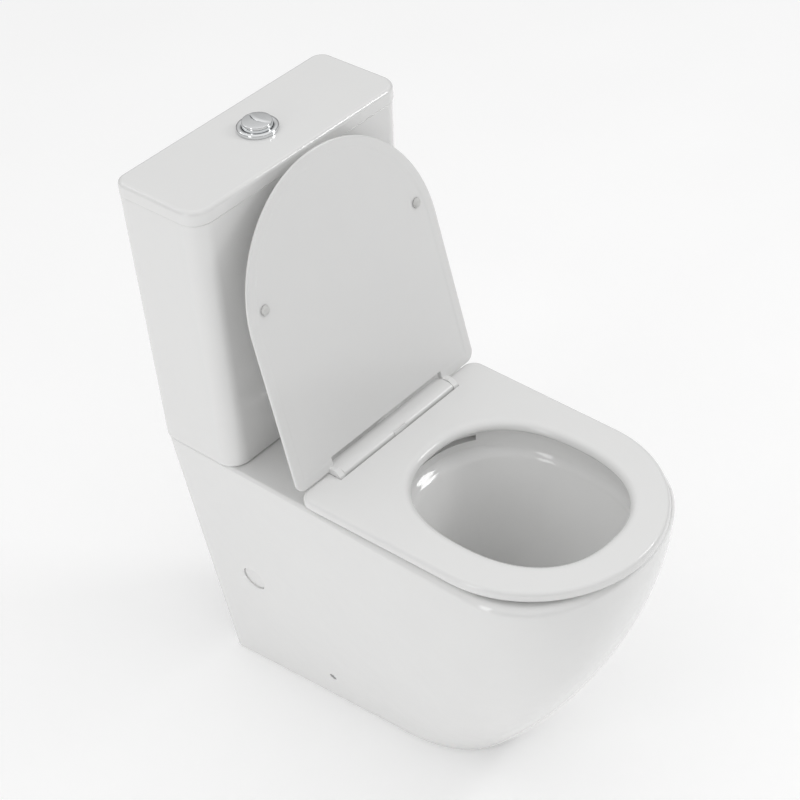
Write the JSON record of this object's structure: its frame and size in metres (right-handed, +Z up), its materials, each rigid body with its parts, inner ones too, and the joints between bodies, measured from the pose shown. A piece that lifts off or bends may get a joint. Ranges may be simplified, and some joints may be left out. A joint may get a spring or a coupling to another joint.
{
  "type": "close coupled toilet",
  "caption": "Close coupled back-to-wall toilet with a skirted pan, rimless bowl, slim cistern, dual flush button and soft-close seat and cover.",
  "frame": {"origin": "centre of the bounding box on the floor plane", "axes": "+Z up, -Y towards the front of the bowl, +Y towards the wall, +X to the right for someone facing the toilet"},
  "size_m": [0.365, 0.64, 0.8478],
  "materials": {
    "glaze": "gloss white glaze",
    "seat_white": "gloss white",
    "chrome": "polished chrome",
    "steel": "bright steel",
    "brass": "plain brass",
    "fittings_plastic": "natural white",
    "grey_plastic": "grey",
    "rubber": "matte black",
    "buffer": "translucent white"
  },
  "bodies": {
    "toilet": {"pan": "glaze", "cistern_tank": "glaze", "flush_valve_body": "fittings_plastic", "flush_valve_backnut": "fittings_plastic", "fill_valve_body": "fittings_plastic", "fill_valve_nut": "fittings_plastic", "wing_nut_left": "fittings_plastic", "wing_nut_right": "fittings_plastic", "hinge_nut_left": "fittings_plastic", "hinge_nut_right": "fittings_plastic", "damper_left": "grey_plastic", "damper_right": "grey_plastic", "coupling_gasket": "rubber", "coupling_washer_left": "rubber", "coupling_washer_right": "rubber", "fill_valve_washer": "rubber", "coupling_bolt_left": "brass", "coupling_bolt_right": "brass", "hinge_bar": "seat_white", "side_cap_left": "seat_white", "side_cap_right": "seat_white", "hinge_pin_left": "steel", "hinge_pin_right": "steel", "hinge_post_left": "steel", "hinge_post_right": "steel", "floor_bracket_left": "steel", "floor_bracket_right": "steel", "floor_screw_left": "steel", "floor_screw_right": "steel", "side_screw_left": "steel", "side_screw_right": "steel", "fill_valve_pin": "steel"},
    "cistern_lid": {"cistern_lid": "glaze", "flush_bezel": "chrome", "button_sleeve_nut": "fittings_plastic"},
    "full_flush": {"full_flush_button": "chrome", "full_flush_rod": "fittings_plastic"},
    "half_flush": {"half_flush_button": "chrome", "half_flush_rod": "fittings_plastic"},
    "flush_piston": {"flush_valve_piston": "grey_plastic", "flush_valve_seal": "rubber"},
    "fill_float": {"fill_valve_float": "grey_plastic"},
    "fill_arm": {"fill_valve_arm": "fittings_plastic"},
    "seat": {"seat_ring": "seat_white", "seat_buffer_rear_left": "buffer", "seat_buffer_rear_right": "buffer", "seat_buffer_front_left": "buffer", "seat_buffer_front_right": "buffer"},
    "cover": {"seat_cover": "seat_white", "cover_buffer_left": "buffer", "cover_buffer_right": "buffer"},
    "release": {"release_button": "seat_white"}
  },
  "joints": [
    {"name": "lid_lift", "type": "slide", "parent": "toilet", "child": "cistern_lid", "axis": [0, 0, 1], "range_m": [0, 0.15]},
    {"name": "full_flush_press", "type": "slide", "parent": "cistern_lid", "child": "full_flush", "axis": [0, 0, -1], "range_m": [0, 0.006], "stiffness_N_per_m": 400, "springref_m": -0.008},
    {"name": "half_flush_press", "type": "slide", "parent": "cistern_lid", "child": "half_flush", "axis": [0, 0, -1], "range_m": [0, 0.006], "stiffness_N_per_m": 400, "springref_m": -0.006},
    {"name": "piston_lift", "type": "slide", "parent": "toilet", "child": "flush_piston", "axis": [0, 0, 1], "range_m": [0, 0.0205]},
    {"name": "float_rise", "type": "slide", "parent": "toilet", "child": "fill_float", "axis": [0, 0, 1], "range_m": [0, 0.012]},
    {"name": "arm_swing", "type": "hinge", "parent": "toilet", "child": "fill_arm", "pos_m": [-0.135, 0.255, 0.7], "axis": [0, -1, 0], "range_deg": [0, 19]},
    {"name": "seat_hinge", "type": "hinge", "parent": "toilet", "child": "seat", "pos_m": [0, 0.0678, 0.4555], "axis": [-1, 0, 0], "range_deg": [0, 98]},
    {"name": "cover_hinge", "type": "hinge", "parent": "toilet", "child": "cover", "pos_m": [0, 0.0678, 0.4555], "axis": [-1, 0, 0], "range_deg": [-103, 0]},
    {"name": "release_press", "type": "slide", "parent": "toilet", "child": "release", "axis": [0, 1, 0], "range_m": [0, 0.0015], "stiffness_N_per_m": 400, "springref_m": -0.001}
  ],
  "couplings": [
    {"joint": "piston_lift", "follows": "full_flush_press", "ratio": 3.3333},
    {"joint": "arm_swing", "follows": "float_rise", "rad_per_m": 26.5}
  ]
}
